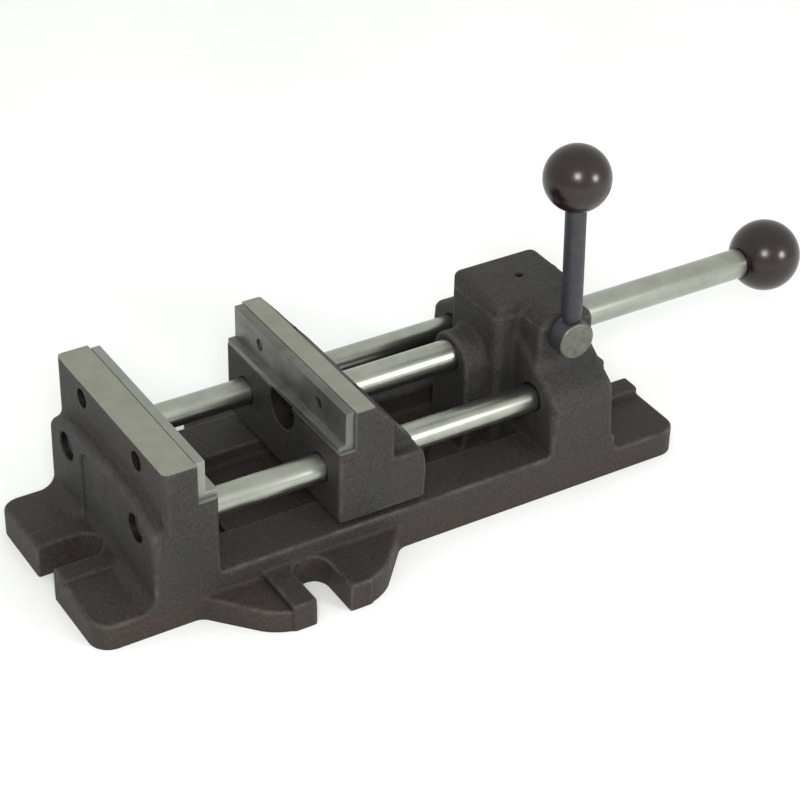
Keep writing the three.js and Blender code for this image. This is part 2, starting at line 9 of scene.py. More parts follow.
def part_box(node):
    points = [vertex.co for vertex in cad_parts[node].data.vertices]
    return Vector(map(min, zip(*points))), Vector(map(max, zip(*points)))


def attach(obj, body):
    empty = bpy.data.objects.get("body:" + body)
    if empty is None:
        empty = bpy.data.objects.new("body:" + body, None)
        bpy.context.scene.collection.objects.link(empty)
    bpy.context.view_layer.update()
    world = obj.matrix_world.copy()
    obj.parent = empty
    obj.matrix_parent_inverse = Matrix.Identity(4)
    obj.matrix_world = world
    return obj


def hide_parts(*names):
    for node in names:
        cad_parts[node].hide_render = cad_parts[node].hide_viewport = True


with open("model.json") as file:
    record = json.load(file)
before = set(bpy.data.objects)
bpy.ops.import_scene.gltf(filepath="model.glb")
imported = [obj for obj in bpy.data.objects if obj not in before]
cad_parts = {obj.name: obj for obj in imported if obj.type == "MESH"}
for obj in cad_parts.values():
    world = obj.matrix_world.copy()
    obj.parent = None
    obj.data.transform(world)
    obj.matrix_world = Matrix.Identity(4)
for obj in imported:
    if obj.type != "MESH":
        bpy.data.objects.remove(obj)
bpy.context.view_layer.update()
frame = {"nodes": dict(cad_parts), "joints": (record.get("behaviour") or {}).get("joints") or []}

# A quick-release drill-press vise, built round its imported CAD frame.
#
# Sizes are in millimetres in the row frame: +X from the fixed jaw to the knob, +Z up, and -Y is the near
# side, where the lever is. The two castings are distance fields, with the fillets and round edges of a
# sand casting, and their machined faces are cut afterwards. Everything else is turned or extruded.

MM = 0.001


def span(node):
    """The lowest and highest corner of a CAD node, in millimetres."""
    low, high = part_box(node)
    return np.array(low) / MM, np.array(high) / MM


# ---- sizes from the frame ----

BASE_LOW, BASE_HIGH = span("base_casting")
JAW_LOW, JAW_HIGH = span("moving_jaw")
FIXED_PLATE_LOW, FIXED_PLATE_HIGH = span("fixed_jaw_plate")
MOVING_PLATE_LOW, MOVING_PLATE_HIGH = span("moving_jaw_plate")
ROD_LOW, ROD_HIGH = span("guide_rod_far")
BAR_LOW, BAR_HIGH = span("push_bar")

HALF_WIDTH = JAW_HIGH[1]
JAW_TOP = JAW_HIGH[2]
MOVING_REACH = 3.6  # of the moving jaw's body in front of its gripping face
OPENING = JAW_LOW[0] + MOVING_REACH  # x of that face
ROD_Y, ROD_Z = (ROD_LOW[1:] + ROD_HIGH[1:]) / 2
ROD_RADIUS = (ROD_HIGH[2] - ROD_LOW[2]) / 2
BAR_Z = (BAR_LOW[2] + BAR_HIGH[2]) / 2
BAR_RADIUS = (BAR_HIGH[2] - BAR_LOW[2]) / 2

LEVER_JOINT = next(j for j in frame["joints"] if j["name"] == "lever_turn")
CAM_X, _, CAM_Z = np.array(LEVER_JOINT["pos_m"]) / MM

# ---- sizes of the castings' details ----

FIT = 0.3  # between a bore and what runs in it
GRIND = 3.0  # stock below the base and above the jaws, which grinding takes off
RAIL_TOP = 21.0
BED = {"window": (8.0, 100.0), "trough": (99.0, 173.0), "half": 26.5, "floor": 9.5, "rear": 209.0}
SLOT = {"half": 8.2, "pad_half": 19.5, "pad_top": 16.4, "front": -26.5, "rear": 221.0}
FOOT = {"front": 12.2, "front_crown": 15.0, "rear": 12.9}
EAR = {"x": 44.4, "root_half": 50.0, "tip_half": 24.6, "rim": 11.4, "pad_top": 13.3}
FIXED_JAW = {"front": -25.6, "upper": -19.9, "inner": 5.35, "half": 52.4, "arch_side": 48.0, "arch": 59.3}
HOUSING = {"front": 173.0, "rear": 207.0, "block": 162.0, "half": 19.3, "top": BASE_HIGH[2]}
SHOULDER = {"side": 48.3, "block": 72.0}
PEDESTAL = {"front": 150.0, "half": 14.0, "top": 65.5}
CAM_BOSS = {"front": 174.3, "rear": 203.6, "face": -35.5, "top": 85.0}
NOTCH = {"back": 90.0, "top": 49.5, "half": 44.0}  # beside the back of the moving jaw
PLATE_SCREW = {"y": 26.5, "z": 71.8, "hole": 2.8, "pocket": 4.5, "depth": 10.5}
PLATE_LIP = 3.0
CAVITY = {"low": (166, -12, -5), "high": (196, 12, 83.2)}  # for the grip block
BUSH = {"radius": 9.3, "front": (153.7, 166.5), "rear": (194.5, 208.3)}
PIN_BORE = {"x": 177.5, "z": 37.0, "radius": 3.3, "half": 18.3}
CAM_BORE = {"radius": 6.65, "ring_seat": 17.0, "pocket": 10.5, "end": 24.0}
OIL_HOLE = {"x": 186.2, "radius": 1.5, "mouth": 2.1, "low": 82.0, "high": 88.0}
JAW_BOLT = {"clearance": 3.3, "pocket": 10.5, "depth": 13.0}

# ---- sizes of the turned pieces ----

CAM_SHAFT = {"hub": 9.0, "radius": 6.35, "cam_half": 11.7, "neck": 2.3, "lobe": 4.3, "throw": 2.0}
CAM_GROOVE = {"low": 17.1, "high": 18.9, "radius": 4.9}
LEVER = {"neck": 3.6, "rod": 4.75, "shoulder": 9.3, "stud": 3.4, "hole": 3.9}
LEVER_BALL = {"radius": 15.0, "socket": 5.2, "rim": 6.2, "depth": 19.0}
BAR_STUD = {"length": 8.0, "radius": 5.0}
STEP = 0.01  # between the two rings of a square shoulder

CAST_STEP = 0.85  # grid of the castings' distance fields
SIDES = 96  # of a turned piece
BALL_STEPS = 64  # from one end of a ball to the other
CREASE = 35.0  # degrees, above which an edge is kept crisp
CAST_CREASE = 40.0
HEX_CORNER = 0.577  # from a hexagon's centre to its corner, for a width of 1 across the flats


# ---- distance fields ----
#
# The last number of join, meet and cut is the radius of the fillet or the rounded edge.


def join(a, b, fillet=0.0):
    """The union of two solids, with a round fillet in the corner between them."""
    if not np.any(fillet):
        return np.minimum(a, b)
    return np.maximum(fillet, np.minimum(a, b)) - np.hypot(
        np.maximum(fillet - a, 0), np.maximum(fillet - b, 0)
    )


def meet(a, b, edge=0.0):
    """What two solids share, with their common edge rounded."""
    return -join(-a, -b, edge)


def cut(a, b, edge=0.0):
    return meet(a, -b, edge)


def slab(v, low, high):
    return np.maximum(low - v, v - high)


def side_of(u, v, start, end):
    """Signed distance to the line from start to end, negative on its left."""
    run, rise = end[0] - start[0], end[1] - start[1]
    return ((u - start[0]) * rise - (v - start[1]) * run) / math.hypot(run, rise)


def ramp(v, start, end):
    """0 below start, 1 above end and a straight line between."""
    return np.clip((v - start) / (end - start), 0, 1)


def end_slot(s, inward):
    """A slot open at the flange's end. inward is the distance past the centre of its round end."""
    return np.hypot(np.maximum(inward, 0), s) - SLOT["half"]


def ear(x, s, z):
    u = np.abs(x - EAR["x"])
    reach = BASE_HIGH[1]
    edge = side_of(s, u, (reach, EAR["tip_half"]), (HALF_WIDTH - 1, EAR["root_half"]))
    plan = meet(s - reach, edge, 8.0)
    rear_side = ramp(x, EAR["x"] - 2, EAR["x"] + 2)
    dip = 1.0 * ramp(x, 2, EAR["x"] - SLOT["pad_half"]) * (1 - rear_side)
    top = EAR["rim"] + (EAR["pad_top"] - 0.2 - EAR["rim"]) * rear_side - dip
    pad = meet(plan, z - top, 1.5)
    raised = meet(meet(u - SLOT["pad_half"], s - reach, 1.5), z - EAR["pad_top"], 1.0)
    slot = np.hypot(np.maximum(HALF_WIDTH + SLOT["half"] - s, 0), u) - SLOT["half"]
    return cut(join(pad, raised, 0.6), slot, 1.2)


def fixed_jaw(x, y, z):
    """The jaw as seen from the side: a plain upper slab, and an arched thicker part in front of it."""
    upper = slab(x, FIXED_JAW["upper"], FIXED_JAW["inner"])
    upper = np.maximum(upper, z - JAW_TOP - GRIND)
    rise = FIXED_JAW["arch"] - FIXED_JAW["arch_side"]
    arch = FIXED_JAW["arch_side"] + rise * (1 - np.clip(np.abs(y) / HALF_WIDTH, 0, 1) ** 4)
    lower = meet(FIXED_JAW["front"] - x, 0.85 * (z - arch), 3.2)
    lower = np.maximum(lower, x)
    panel = meet(np.abs(y) - 19, slab(z, 14, FIXED_JAW["arch"] - 8), 6.0)
    panel = meet(panel, x - FIXED_JAW["front"] - 0.9, 0.5)
    return join(upper, cut(lower, panel, 1.0), 3.0)


def housing_profile(x, s, z):
    ends = slab(x, HOUSING["front"], HOUSING["rear"])
    slope = side_of(s, z, (HALF_WIDTH, SHOULDER["side"]), (HOUSING["half"] - 2, SHOULDER["block"]))
    return meet(ends, slope, 2.8)


def housing_top(x, y, s, z):
    block_plan = meet(slab(x, HOUSING["block"], HOUSING["rear"]), s - HOUSING["half"], 4.2)
    block = meet(block_plan, z - HOUSING["top"], 3.0)
    arch = np.hypot(s, np.maximum(z - PEDESTAL["top"] + PEDESTAL["half"], 0)) - PEDESTAL["half"]
    pedestal = meet(arch, PEDESTAL["front"] - x, 1.5)
    pedestal = np.maximum(pedestal, x - HOUSING["block"] - 6)
    corner = meet(slab(x, CAM_BOSS["front"], CAM_BOSS["rear"]), z - CAM_BOSS["top"], 9.0)
    boss = meet(corner, CAM_BOSS["face"] - y, 2.2)
    boss = np.maximum(boss, np.maximum(y, 30 - z))
    return join(join(block, pedestal, 3.0), boss, 3.0)


def base_field(x, y, z):
    s = np.abs(y)
    front, rear = BASE_LOW[0], BASE_HIGH[0]
    bed = meet(slab(x, FIXED_JAW["front"] + 3, BED["rear"]), z - RAIL_TOP, 1.2)
    window = meet(slab(x, *BED["window"]), s - BED["half"], 4.0)
    trough = meet(meet(slab(x, *BED["trough"]), s - BED["half"], 4.0), BED["floor"] - z, 3.0)
    bed = cut(cut(bed, window, 1.2), trough, 1.2)
    crown = FOOT["front_crown"] - FOOT["front"]
    front_top = FOOT["front"] + crown * ramp(s, HALF_WIDTH, SLOT["pad_half"])
    front_foot = np.maximum(z - front_top, x - FIXED_JAW["front"] - 5)
    rear_foot = np.maximum(z - FOOT["rear"], HOUSING["rear"] - 5 - x)
    solid = join(join(bed, fixed_jaw(x, y, z), 2.0), front_foot, 7.0)
    solid = join(join(solid, housing_profile(x, s, z), 2.5), rear_foot, 4.5)
    upright = ramp(z, 22, 46)
    flare = (FIXED_JAW["half"] - HALF_WIDTH) * upright * (x < 60)
    plan = meet(slab(x, front, rear), s - HALF_WIDTH - flare, 9.5)
    solid = meet(solid, plan, 1.4 + upright * (1.6 + 1.8 * ramp(x, 100, 160)))
    pad_plan = meet(slab(x, front, rear), s - SLOT["pad_half"], 3.0)
    pad = meet(pad_plan, z - SLOT["pad_top"], 1.4)
    pad = np.maximum(pad, np.minimum(x - FIXED_JAW["front"] - 5, HOUSING["rear"] - 5 - x))
    solid = join(join(solid, pad, 0.8), ear(x, s, z), 2.2)
    solid = join(solid, housing_top(x, y, s, z), 3.5)
    solid = cut(solid, end_slot(s, x - SLOT["front"] + SLOT["half"]), 1.4)
    solid = cut(solid, end_slot(s, SLOT["rear"] + SLOT["half"] - x), 1.4)
    whole = np.maximum(slab(x, front, rear), s - BASE_HIGH[1])
    return np.maximum(np.maximum(solid, whole), -GRIND - z)


def moving_jaw_field(x, y, z):
    s = np.abs(y)
    front, rear, bottom = JAW_LOW[0], JAW_HIGH[0], JAW_LOW[2]
    top_end = OPENING + 16.5
    slope = side_of(x, z, (rear - 1.5, NOTCH["top"] + 1.5), (NOTCH["back"] + 1.5, JAW_TOP - 9))
    shoulder = side_of(x, z, (NOTCH["back"] + 1.5, JAW_TOP - 9), (top_end, JAW_TOP))
    lower = side_of(x, z, (rear - 1.2, bottom), (rear, bottom + 16))
    back = meet(meet(slope, shoulder, 9.0), lower, 9.0)
    back = meet(back, x - rear + 0.2, 4.0)
    profile = meet(meet(back, front - x, 0.8), bottom - z, 2.0)
    solid = meet(profile, s - HALF_WIDTH + 0.3, 1.4)
    beside = meet(meet(NOTCH["back"] - x, NOTCH["top"] - z, 2.5), NOTCH["half"] - s, 3.0)
    solid = cut(solid, beside, 1.4)
    return np.maximum(solid, z - JAW_TOP - GRIND)


def settle(field, points, rounds=3, reach=0.05):
    """Moves points along the field's slope until they lie on its surface."""
    for _ in range(rounds):
        slope = np.stack(
            [field(*(points + d).T) - field(*(points - d).T) for d in reach * np.eye(3)], 1
        ) / (2 * reach)
        steep = np.maximum((slope**2).sum(1), 0.25)
        points = points - (field(*points.T) / steep)[:, None] * slope
    return points


def surface_net(field, low, high, step):
    """The closed surface where a field is zero: one point in each grid cell that it crosses."""
    axes = [np.arange(a - 2 * step, b + 3 * step, step, dtype=np.float32) for a, b in zip(low, high)]
    value = field(axes[0][:, None, None], axes[1][None, :, None], axes[2][None, None, :])
    inside = value < 0
    size = tuple(n - 1 for n in inside.shape)
    filled = np.zeros(size, np.int8)
    for i, j, k in np.ndindex(2, 2, 2):
        filled += inside[i : i + size[0], j : j + size[1], k : k + size[2]]
    crossed = (filled > 0) & (filled < 8)
    number = np.full(size, -1, np.int32)
    number[crossed] = np.arange(np.count_nonzero(crossed))
    start = np.array([a[0] for a in axes]) + step / 2
    points = settle(field, start + np.argwhere(crossed) * float(step))
    faces = []
    for axis in range(3):
        across, beyond = (axis + 1) % 3, (axis + 2) % 3
        here = np.take(inside, range(inside.shape[axis] - 1), axis)
        there = np.take(inside, range(1, inside.shape[axis]), axis)
        at = np.argwhere(here != there)
        ring = []
        for da, db in ((-1, -1), (0, -1), (0, 0), (-1, 0)):
            cell = at.copy()
            cell[:, across] += da
            cell[:, beyond] += db
            ring.append(number[tuple(cell.T)])
        quads = np.stack(ring, 1)
        entering = ~here[tuple(at.T)]
        quads[entering] = quads[entering][:, ::-1]
        faces.append(quads)
    return points, np.concatenate(faces)


# ---- meshes ----


def add_object(name, mesh):
    piece = bpy.data.objects.new(name, mesh)
    bpy.context.scene.collection.objects.link(piece)
    return piece


def from_points(name, points, faces):
    """An object from points in millimetres."""
    mesh = bpy.data.meshes.new(name)
    mesh.from_pydata(np.asarray(points) * MM, [], faces)
    mesh.update()
    return add_object(name, mesh)


def apply_modifiers(piece):
    """Gives a piece the mesh that its modifiers make."""
    bpy.context.view_layer.update()
    graph = bpy.context.evaluated_depsgraph_get()
    mesh = bpy.data.meshes.new_from_object(piece.evaluated_get(graph), depsgraph=graph)
    piece.modifiers.clear()
    old, piece.data = piece.data, mesh
    bpy.data.meshes.remove(old)
    mesh.name = piece.name


def thin_out(piece, triangles):
    """Merges the flat stretches of a dense mesh, down to about that many triangles."""
    count = 2 * len(piece.data.polygons)
    if count <= triangles:
        return
    thin = piece.modifiers.new("thin", "DECIMATE")
    thin.ratio = triangles / count
    apply_modifiers(piece)


def carve(piece, *cutters):
    """Cuts the cutters out of a piece, and removes them."""
    for cutter in cutters:
        hole = piece.modifiers.new("hole", "BOOLEAN")
        hole.operation = "DIFFERENCE"
        hole.solver = "MANIFOLD"
        hole.object = cutter
    apply_modifiers(piece)
    for cutter in cutters:
        bpy.data.meshes.remove(cutter.data)


def block(low, high):
    """A box, as a cutter."""
    corners = [[(low, high)[bit][axis] for axis, bit in enumerate(bits)] for bits in np.ndindex(2, 2, 2)]
    faces = [(0, 1, 3, 2), (4, 6, 7, 5), (0, 4, 5, 1), (2, 3, 7, 6), (0, 2, 6, 4), (1, 5, 7, 3)]
    return from_points("block", corners, faces)


def turned(name, profile, centre, axis="x", sides=SIDES, turn=0.0):
    """A solid of revolution from [distance along the axis, radius], closed at both ends."""
    order = {"x": (0, 1, 2), "y": (1, 2, 0), "z": (2, 0, 1)}[axis]
    angles = np.arange(sides) * 2 * math.pi / sides + turn
    points = []
    for along, radius in profile:
        ring = np.zeros((sides, 3))
        ring[:, order[0]] = along
        ring[:, order[1]] = radius * np.cos(angles)
        ring[:, order[2]] = radius * np.sin(angles)
        points.append(ring + np.array(centre))
    faces = []
    for row in range(len(profile) - 1):
        for i in range(sides):
            j = (i + 1) % sides
            faces.append((row * sides + i, row * sides + j, (row + 1) * sides + j, (row + 1) * sides + i))
    last = (len(profile) - 1) * sides
    faces.append(tuple(reversed(range(sides))))
    faces.append(tuple(last + i for i in range(sides)))
    return from_points(name, np.concatenate(points), faces)


def shade(piece, angle=CREASE):
    """Smooth shading, with every edge sharper than the angle kept crisp."""
    piece.data.shade_smooth()
    piece.data.set_sharp_from_angle(angle=math.radians(angle))


def bevel(piece, width):
    """Rounds a piece's sharp edges."""
    rounded = piece.modifiers.new("bevel", "BEVEL")
    rounded.width = width * MM
    rounded.segments = 2
    rounded.limit_method = "ANGLE"
    rounded.angle_limit = math.radians(CREASE)
    rounded.harden_normals = False
    apply_modifiers(piece)


def paint(piece, *materials):
    piece.data.materials.clear()
    for material in materials:
        piece.data.materials.append(material)


def finish_piece(piece, body, material, node):
    """Shades and paints a piece, and puts it on its body in place of a CAD node."""
    shade(piece)
    paint(piece, material)
    place_piece(piece, body, node)


def place_piece(piece, body, node):
    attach(piece, body)
    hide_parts(node)


# ---- materials ----


class Shader:
    """A principled material whose nodes are made by short calls."""

    def __init__(self, name):
        self.material = bpy.data.materials.new(name)
        self.material.use_nodes = True
        self.tree = self.material.node_tree
        self.surface = self.tree.nodes["Principled BSDF"]
        self.place = self.tree.nodes.new("ShaderNodeTexCoord").outputs["Object"]

    def set(self, **values):
        for name, value in values.items():
            self.surface.inputs[name.replace("_", " ")].default_value = value
        return self

    def link(self, source, target):
        self.tree.links.new(source, target)

    def node(self, kind, output=0, inputs=None, **settings):
        made = self.tree.nodes.new("ShaderNode" + kind)
        for key, value in settings.items():
            setattr(made, key, value)
        for key, value in (inputs or {}).items():
            if isinstance(value, bpy.types.NodeSocket):
                self.link(value, made.inputs[key])
            else:
                made.inputs[key].default_value = value
        return made.outputs[output]

    def noise(self, size_mm, detail=3.0, rough=0.55, stretch=None):
        """Noise with features of about that size."""
        place = self.place
        if stretch:
            place = self.node("Mapping", inputs={"Vector": place, "Scale": stretch})
        values = {"Vector": place, "Scale": 1 / (size_mm * MM), "Detail": detail, "Roughness": rough}
        return self.node("TexNoise", "Fac", values)

    def ramp(self, value, stops):
        made = self.tree.nodes.new("ShaderNodeValToRGB")
        self.link(value, made.inputs["Fac"])
        ramp = made.color_ramp
        while len(ramp.elements) < len(stops):
            ramp.elements.new(0.5)
        for element, (position, colour) in zip(ramp.elements, stops):
            element.position = position
            shade_of = colour if hasattr(colour, "__len__") else (colour,) * 3
            element.color = (*shade_of, 1)
        return made.outputs["Color"]

    def math(self, operation, a, b=0.0, clamp=False):
        return self.node("Math", inputs={0: a, 1: b}, operation=operation, use_clamp=clamp)

    def mix(self, share, a, b, blend="MIX"):
        made = self.tree.nodes.new("ShaderNodeMix")
        made.data_type = "RGBA"
        made.blend_type = blend
        for socket, value in zip((made.inputs[0], made.inputs[6], made.inputs[7]), (share, a, b)):
            if isinstance(value, bpy.types.NodeSocket):
                self.link(value, socket)
            else:
                socket.default_value = value if not hasattr(value, "__len__") else (*value, 1)
        return made.outputs[2]

    def bump(self, height, depth_mm, under=None):
        inputs = {"Height": height, "Distance": depth_mm * MM, "Strength": 1.0}
        if under:
            inputs["Normal"] = under
        return self.node("Bump", inputs=inputs)

    def finish(self, colour=None, roughness=None, normal=None):
        for name, value in (("Base Color", colour), ("Roughness", roughness), ("Normal", normal)):
            if value is not None:
                self.link(value, self.surface.inputs[name])
        return self.material


def cast_iron():
    """Dark iron as it left the sand, painted thinly, browner towards the bottom, with worn edges and
    painted shade darkening its corners.
    """
    m = Shader("cast_iron").set(Metallic=0.0, Specular_IOR_Level=0.22)
    patch = m.noise(38, 3)
    grain = m.noise(1.3, 4, 0.7)
    speck = m.noise(0.42, 2, 0.6)
    warm = m.ramp(patch, [(0.35, (0.027, 0.0265, 0.0235)), (0.68, (0.035, 0.032, 0.030))])
    height = m.node("SeparateXYZ", "Z", {0: m.place})
    low = m.node("MapRange", inputs={"Value": height, 1: 0.022, 2: 0.008, 3: 0.0, 4: 1.0})
    brown = m.mix(m.math("MULTIPLY", low, 0.8), warm, (0.038, 0.027, 0.0245))
    sand = m.ramp(grain, [(0.3, 0.55), (0.52, 1.0), (0.8, 1.55)])
    toned = m.mix(1.0, brown, sand, "MULTIPLY")
    edge_wear_and_corner_shade = m.node("Attribute", "Fac", attribute_name="edge", attribute_type="GEOMETRY")
    patchy = m.node("MapRange", inputs={"Value": m.noise(9, 4, 0.65), 1: 0.42, 2: 0.68, 3: 0.15, 4: 1.0})
    rubbed = m.math("MULTIPLY", edge_wear_and_corner_shade, patchy, True)
    light = m.mix(m.math("MULTIPLY", rubbed, 0.5, True), toned, (0.13, 0.122, 0.108))
    # painted shade: corners and creases, where the bulge is below zero, are darkened
    hollow = m.math("MULTIPLY", m.math("MULTIPLY", edge_wear_and_corner_shade, -1.0), 0.9, True)
    colour = m.mix(hollow, light, (0.016, 0.013, 0.012))
    rough = m.node("MapRange", inputs={"Value": speck, 1: 0.3, 2: 0.7, 3: 0.50, 4: 0.72})
    coarse = m.bump(m.noise(3.2, 3, 0.5), 0.22)
    fine = m.bump(grain, 0.34, coarse)
    return m.finish(colour, rough, m.bump(speck, 0.10, fine))


def bore_shade_iron():
    """The wall of a drilled hole: near black as painted shade, with fine feed marks."""
    m = Shader("bore_shade_iron").set(Metallic=0.2, Specular_IOR_Level=0.25)
    cloud = m.noise(3, 3, 0.6)
    colour = m.ramp(cloud, [(0.3, (0.007, 0.006, 0.006)), (0.7, (0.016, 0.014, 0.013))])
    rough = m.node("MapRange", inputs={"Value": cloud, 1: 0.3, 2: 0.7, 3: 0.45, 4: 0.62})
    return m.finish(colour, rough, m.bump(m.noise(0.5, 2), 0.03))


def ground_iron():
    """Iron ground flat: olive grey, satin, with fine lines along the jaw."""
    m = Shader("ground_iron").set(Metallic=0.45, Specular_IOR_Level=0.3)
    lines = m.noise(0.16, 3, 0.6, stretch=(1.0, 0.02, 1.0))
    cloud = m.noise(9, 4, 0.6)
    tone = m.ramp(cloud, [(0.3, (0.212, 0.216, 0.174)), (0.7, (0.255, 0.259, 0.215))])
    pores = m.ramp(m.noise(0.5, 2, 0.5), [(0.28, 0.55), (0.36, 1.0)])
    colour = m.mix(0.8, tone, pores, "MULTIPLY")
    rough = m.node("MapRange", inputs={"Value": lines, 1: 0.25, 2: 0.75, 3: 0.38, 4: 0.52})
    return m.finish(colour, rough, m.bump(lines, 0.012))


def ground_steel(name, colour_low, colour_high):
    """Hardened jaw plate, ground finer than the iron."""
    m = Shader(name).set(Metallic=0.6)
    lines = m.noise(0.12, 3, 0.6, stretch=(1.0, 0.02, 1.0))
    cloud = m.noise(14, 3, 0.55)
    colour = m.ramp(cloud, [(0.3, colour_low), (0.72, colour_high)])
    smear = m.noise(6, 4, 0.65, stretch=(1.0, 0.3, 1.0))
    rough = m.node("MapRange", inputs={"Value": smear, 1: 0.3, 2: 0.7, 3: 0.30, 4: 0.46})
    return m.finish(colour, rough, m.bump(lines, 0.008))


def polished_steel():
    """Bright rod: polished round, with faint scratches along it and a few smudges."""
    m = Shader("polished_steel").set(Metallic=1.0)
    rings = m.noise(0.10, 2, 0.5, stretch=(1.0, 0.15, 0.15))
    draw = m.noise(0.30, 3, 0.6, stretch=(0.015, 1.0, 1.0))
    smudge = m.noise(11, 4, 0.6)
    colour = m.ramp(smudge, [(0.32, (0.32, 0.33, 0.285)), (0.62, (0.39, 0.40, 0.355))])
    rough = m.node("MapRange", inputs={"Value": smudge, 1: 0.3, 2: 0.75, 3: 0.34, 4: 0.27})
    return m.finish(colour, rough, m.bump(draw, 0.004, m.bump(rings, 0.0015)))


def turned_steel(centre):
    """Turned end of the cam shaft, with fine rings about the cam axis."""
    m = Shader("turned_steel").set(Metallic=0.7)
    local = m.node("Mapping", inputs={"Vector": m.place, "Location": [-c * MM for c in centre]})
    split = m.tree.nodes.new("ShaderNodeSeparateXYZ")
    m.link(local, split.inputs[0])
    across, up = split.outputs["X"], split.outputs["Z"]
    square = m.math("ADD", m.math("MULTIPLY", across, across), m.math("MULTIPLY", up, up))
    radius = m.math("SQRT", square)
    rings = m.math("SINE", m.math("MULTIPLY", radius, 2 * math.pi / (0.55 * MM)))
    cloud = m.noise(3.5, 4, 0.65)
    colour = m.ramp(cloud, [(0.3, (0.095, 0.097, 0.08)), (0.7, (0.15, 0.152, 0.13))])
    rough = m.node("MapRange", inputs={"Value": cloud, 1: 0.3, 2: 0.7, 3: 0.50, 4: 0.38})
    return m.finish(colour, rough, m.bump(rings, 0.010, m.bump(cloud, 0.05)))


def black_steel(name, colour_low, colour_high, roughness):
    """Black oxide over fine turning marks."""
    m = Shader(name).set(Metallic=0.55)
    cloud = m.noise(5, 4, 0.6)
    grain = m.noise(0.25, 3, 0.6)
    colour = m.ramp(cloud, [(0.3, colour_low), (0.7, colour_high)])
    spread = {"Value": grain, 1: 0.3, 2: 0.7, 3: roughness - 0.06, 4: roughness + 0.08}
    return m.finish(colour, m.node("MapRange", inputs=spread), m.bump(grain, 0.012))


def bronze():
    m = Shader("bronze").set(Metallic=1.0)
    cloud = m.noise(4, 4, 0.6)
    colour = m.ramp(cloud, [(0.3, (0.42, 0.27, 0.11)), (0.7, (0.60, 0.42, 0.20))])
    rough = m.node("MapRange", inputs={"Value": cloud, 1: 0.3, 2: 0.7, 3: 0.28, 4: 0.42})
    return m.finish(colour, rough, m.bump(m.noise(0.3, 2), 0.01))


def phenolic():
    """Moulded black ball with a brown cast and a slightly uneven gloss."""
    m = Shader("phenolic").set(Metallic=0.0, Specular_IOR_Level=0.5)
    cloud = m.noise(16, 3, 0.5)
    colour = m.ramp(cloud, [(0.3, (0.009, 0.0025, 0.004)), (0.7, (0.013, 0.004, 0.006))])
    rough = m.node("MapRange", inputs={"Value": m.noise(2.2, 4, 0.6), 1: 0.3, 2: 0.7, 3: 0.22, 4: 0.29})
    return m.finish(colour, rough, m.bump(m.noise(4.5, 2, 0.4), 0.02))


CAST = cast_iron()
GROUND = ground_iron()
# near-black walls of drilled holes, as painted shade inside them
BORE_SHADE = bore_shade_iron()
PLATE = ground_steel("ground_steel", (0.20, 0.212, 0.185), (0.25, 0.262, 0.235))
# a darker copy of the plate steel, for plate faces given painted shade
PLATE_SHADED_SIDE = ground_steel("ground_steel_shaded_side", (0.085, 0.086, 0.078), (0.15, 0.153, 0.14))
BRIGHT = polished_steel()
LEVER_BLACK = black_steel("lever_black", (0.036, 0.034, 0.041), (0.052, 0.049, 0.058), 0.48)
SCREW_BLACK = black_steel("screw_black", (0.012, 0.011, 0.012), (0.022, 0.021, 0.022), 0.42)
BRONZE = bronze()
BALL = phenolic()
HUB = turned_steel((CAM_X, 0, CAM_Z))


# ---- castings ----


def mark_edges(piece, field):
    """Stores how far each point bulges, above zero on outer edges and below zero in corners."""
    mesh = piece.data
    points = np.empty(3 * len(mesh.vertices))
    mesh.vertices.foreach_get("co", points)
    points = points.reshape(-1, 3) / MM
    reach = 0.9
    around = sum(field(*(points + d).T) + field(*(points - d).T) for d in reach * np.eye(3))
    bulge = (around - 6 * field(*points.T)) / reach
    edge = mesh.attributes.new("edge", "FLOAT", "POINT")
    edge.data.foreach_set("value", np.clip(bulge, -1, 1).astype(np.float32))


def paint_machined(piece, field, is_ground):
    """Gives ground faces, picked by centre in millimetres and normal, their finish, and the walls of
    drilled holes a near-black finish as painted shade.
    """
    mesh = piece.data
    count = len(mesh.polygons)
    centres, normals = np.empty(3 * count), np.empty(3 * count)
    mesh.polygons.foreach_get("center", centres)
    mesh.polygons.foreach_get("normal", normals)
    centres = centres.reshape(-1, 3) / MM
    ground = is_ground(centres, normals.reshape(-1, 3))
    # painted shade: faces cut inside the casting, the walls of its holes, get the near-black finish
    shaded_bore = field(*centres.T) < -0.35
    mesh.polygons.foreach_set("material_index", np.where(ground, 1, 2 * shaded_bore).astype(np.int32))
    mesh.update()


def casting(name, field, low, high, triangles, cutters, is_ground, body, node):
    points, faces = surface_net(field, low, high, CAST_STEP)
    piece = from_points(name, points, faces)
    thin_out(piece, triangles)
    carve(piece, *cutters)
    mark_edges(piece, lambda x, y, z: np.maximum(field(x, y, z), z - JAW_TOP))
    paint(piece, CAST, GROUND, BORE_SHADE)
    paint_machined(piece, field, is_ground)
    shade(piece, CAST_CREASE)
    place_piece(piece, body, node)


def bore(radius, start, end, centre, chamfer=0.6):
    """A round hole with a small countersink at both of its ends."""
    wide = radius + chamfer
    profile = [
        (start - 1, wide),
        (start, wide),
        (start + chamfer, radius),
        (end - chamfer, radius),
        (end, wide),
        (end + 1, wide),
    ]
    return turned("bore", profile, centre)


def counterbore(mouth, inward, centre):
    """The hole of a plate screw: a head pocket at the mouth and a clearance hole beyond."""
    pocket, hole = PLATE_SCREW["pocket"], PLATE_SCREW["hole"]
    depth = PLATE_SCREW["depth"]
    stops = [(-14, pocket), (depth, pocket), (depth + STEP, hole), (26, hole)]
    profile = [(mouth + inward * along, radius) for along, radius in stops]
    return turned("counterbore", profile if inward > 0 else profile[::-1], centre, "x", 48)


def screw_places():
    """The y of a plate's two screws."""
    return [side * PLATE_SCREW["y"] for side in (-1, 1)]


